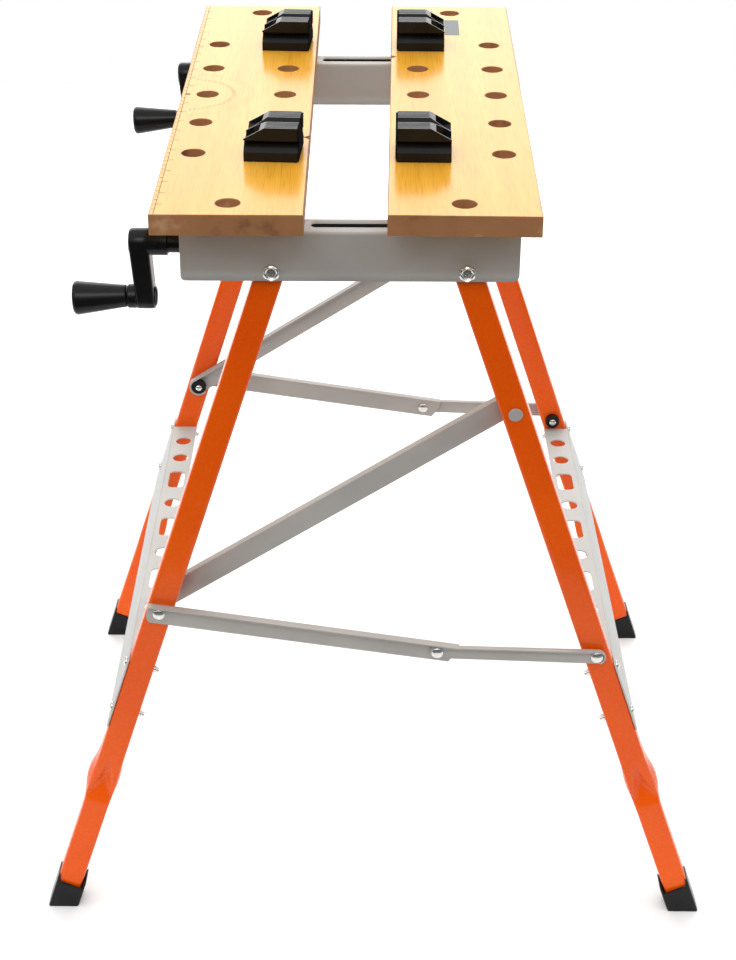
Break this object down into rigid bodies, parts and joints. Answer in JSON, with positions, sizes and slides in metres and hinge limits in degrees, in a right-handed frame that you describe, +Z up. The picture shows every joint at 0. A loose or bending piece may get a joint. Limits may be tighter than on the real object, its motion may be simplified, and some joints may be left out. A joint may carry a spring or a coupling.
{
  "type": "folding workbench",
  "caption": "Folding clamping workbench: perforated jaws on rails, moved by crank screws, carried by splayed legs with braces and tool steps.",
  "frame": {"origin": "on the floor, under the middle of the standing bench's bounding box", "axes": "+Z up, +X across the jaws from the crank side to the moving jaw, +Y along the jaws to the far end"},
  "size_m": [0.6524, 0.6071, 0.8003],
  "materials": {
    "beech_board": "lacquered",
    "grey_paint": "satin powder coat",
    "orange_paint": "gloss paint",
    "step_paint": "satin paint",
    "zinc_plate": "bright zinc",
    "black_plastic": "moulded"
  },
  "bodies": {
    "bench_top": {"fixed_jaw": "beech_board", "near_rail": "grey_paint", "near_fixed_riser": "black_plastic", "near_screw_bearing": "black_plastic", "near_fixed_jaw_screw": "zinc_plate", "near_left_leg_bolt": "zinc_plate", "near_right_leg_bolt": "zinc_plate", "far_rail": "grey_paint", "far_fixed_riser": "black_plastic", "far_screw_bearing": "black_plastic", "far_fixed_jaw_screw": "zinc_plate", "far_left_leg_bolt": "zinc_plate", "far_right_leg_bolt": "zinc_plate"},
    "left_legs": {"left_step": "step_paint", "near_left_leg": "orange_paint", "near_left_foot": "black_plastic", "near_left_pivot_rivet": "zinc_plate", "near_left_bush": "black_plastic", "far_left_leg": "orange_paint", "far_left_foot": "black_plastic", "far_left_pivot_rivet": "zinc_plate", "far_left_bush": "black_plastic"},
    "right_legs": {"right_step": "step_paint", "near_right_leg": "orange_paint", "near_right_foot": "black_plastic", "near_diagonal_cap_rivet": "zinc_plate", "near_right_bush": "black_plastic", "far_right_leg": "orange_paint", "far_right_foot": "black_plastic", "far_diagonal_cap_rivet": "zinc_plate", "far_right_bush": "black_plastic"},
    "diagonals": {"near_diagonal": "grey_paint", "far_diagonal": "grey_paint"},
    "inner_links": {"near_inner_link": "grey_paint", "near_brace_joint_rivet": "zinc_plate", "far_inner_link": "grey_paint", "far_brace_joint_rivet": "zinc_plate"},
    "outer_links": {"near_outer_link": "grey_paint", "near_right_pivot_rivet": "zinc_plate", "far_outer_link": "grey_paint", "far_right_pivot_rivet": "zinc_plate"},
    "near_slide": {"near_slide_block": "black_plastic", "near_slide_nut": "zinc_plate"},
    "moving_top": {"moving_jaw": "beech_board", "far_slide_block": "black_plastic", "far_slide_nut": "zinc_plate", "near_moving_jaw_screw": "zinc_plate", "far_moving_jaw_screw": "zinc_plate"},
    "near_screw": {"near_vice_screw": "zinc_plate"},
    "near_crank": {"near_crank": "black_plastic"},
    "near_grip": {"near_crank_grip": "black_plastic"},
    "far_screw": {"far_vice_screw": "zinc_plate"},
    "far_crank": {"far_crank": "black_plastic"},
    "far_grip": {"far_crank_grip": "black_plastic"},
    "near_fixed_dog": {"near_fixed_dog": "black_plastic"},
    "far_fixed_dog": {"far_fixed_dog": "black_plastic"},
    "near_moving_dog": {"near_moving_dog": "black_plastic"},
    "far_moving_dog": {"far_moving_dog": "black_plastic"}
  },
  "joints": [
    {"name": "left_fold", "type": "hinge", "parent": "bench_top", "child": "left_legs", "pos_m": [-0.09013, 0, 0.6964], "axis": [0, 1, 0], "range_deg": [0, 64]},
    {"name": "right_fold", "type": "hinge", "parent": "bench_top", "child": "right_legs", "pos_m": [0.07387, 0, 0.6964], "axis": [0, 1, 0], "range_deg": [0, 97.02]},
    {"name": "diagonal_swing", "type": "hinge", "parent": "left_legs", "child": "diagonals", "pos_m": [-0.20008, 0, 0.34982], "axis": [0, 1, 0], "range_deg": [-34.35, 0]},
    {"name": "inner_link_swing", "type": "hinge", "parent": "left_legs", "child": "inner_links", "pos_m": [-0.20008, 0, 0.34982], "axis": [0, 1, 0], "range_deg": [-77.11, 0]},
    {"name": "outer_link_swing", "type": "hinge", "parent": "inner_links", "child": "outer_links", "pos_m": [0.05787, 0, 0.3105], "axis": [0, 1, 0], "range_deg": [0, 171.35]},
    {"name": "near_screw_turn", "type": "hinge", "parent": "bench_top", "child": "near_screw", "pos_m": [-0.16613, -0.2304, 0.7165], "axis": [1, 0, 0], "range_deg": [-1800.1, 5760.1]},
    {"name": "near_crank_park", "type": "hinge", "parent": "near_screw", "child": "near_crank", "pos_m": [-0.20013, -0.2304, 0.7165], "axis": [1, 0, 0], "range_deg": [-90.05, 0]},
    {"name": "near_grip_spin", "type": "hinge", "parent": "near_crank", "child": "near_grip", "pos_m": [-0.23813, -0.2304, 0.6665], "axis": [1, 0, 0], "continuous": true},
    {"name": "far_screw_turn", "type": "hinge", "parent": "bench_top", "child": "far_screw", "pos_m": [-0.16613, 0.2304, 0.7165], "axis": [1, 0, 0], "range_deg": [-1800.1, 5760.1]},
    {"name": "far_crank_park", "type": "hinge", "parent": "far_screw", "child": "far_crank", "pos_m": [-0.20013, 0.2304, 0.7165], "axis": [1, 0, 0], "range_deg": [0, 90.05]},
    {"name": "far_grip_spin", "type": "hinge", "parent": "far_crank", "child": "far_grip", "pos_m": [-0.23813, 0.2304, 0.6665], "axis": [1, 0, 0], "continuous": true},
    {"name": "jaw_slide", "type": "slide", "parent": "bench_top", "child": "near_slide", "axis": [1, 0, 0], "range_m": [-0.064, 0.02]},
    {"name": "jaw_skew", "type": "hinge", "parent": "near_slide", "child": "moving_top", "pos_m": [0.06887, -0.2304, 0.742], "axis": [0, 0, 1], "range_deg": [-0.5, 1.04]},
    {"name": "near_fixed_dog_turn", "type": "hinge", "parent": "bench_top", "child": "near_fixed_dog", "pos_m": [-0.08713, -0.16, 0.77], "axis": [0, 0, 1], "continuous": true},
    {"name": "far_fixed_dog_turn", "type": "hinge", "parent": "bench_top", "child": "far_fixed_dog", "pos_m": [-0.08713, 0.16, 0.77], "axis": [0, 0, 1], "continuous": true},
    {"name": "near_moving_dog_turn", "type": "hinge", "parent": "moving_top", "child": "near_moving_dog", "pos_m": [0.03475, -0.15937, 0.77], "axis": [0, 0, 1], "continuous": true},
    {"name": "far_moving_dog_turn", "type": "hinge", "parent": "moving_top", "child": "far_moving_dog", "pos_m": [0.04056, 0.16058, 0.77], "axis": [0, 0, 1], "continuous": true}
  ],
  "couplings": [
    {"joint": "right_fold", "follows": "left_fold", "ratio": 1.5152},
    {"joint": "diagonal_swing", "follows": "left_fold", "ratio": -0.5359},
    {"joint": "inner_link_swing", "follows": "left_fold", "ratio": -1.204},
    {"joint": "outer_link_swing", "follows": "left_fold", "ratio": 2.6766},
    {"joint": "near_crank_park", "follows": "left_fold", "ratio": -1.4062},
    {"joint": "far_crank_park", "follows": "left_fold", "ratio": 1.4062},
    {"joint": "near_screw_turn", "follows": "jaw_slide", "rad_per_m": -1570.8},
    {"joint": "far_screw_turn", "follows": "jaw_slide", "rad_per_m": -1570.8}
  ]
}
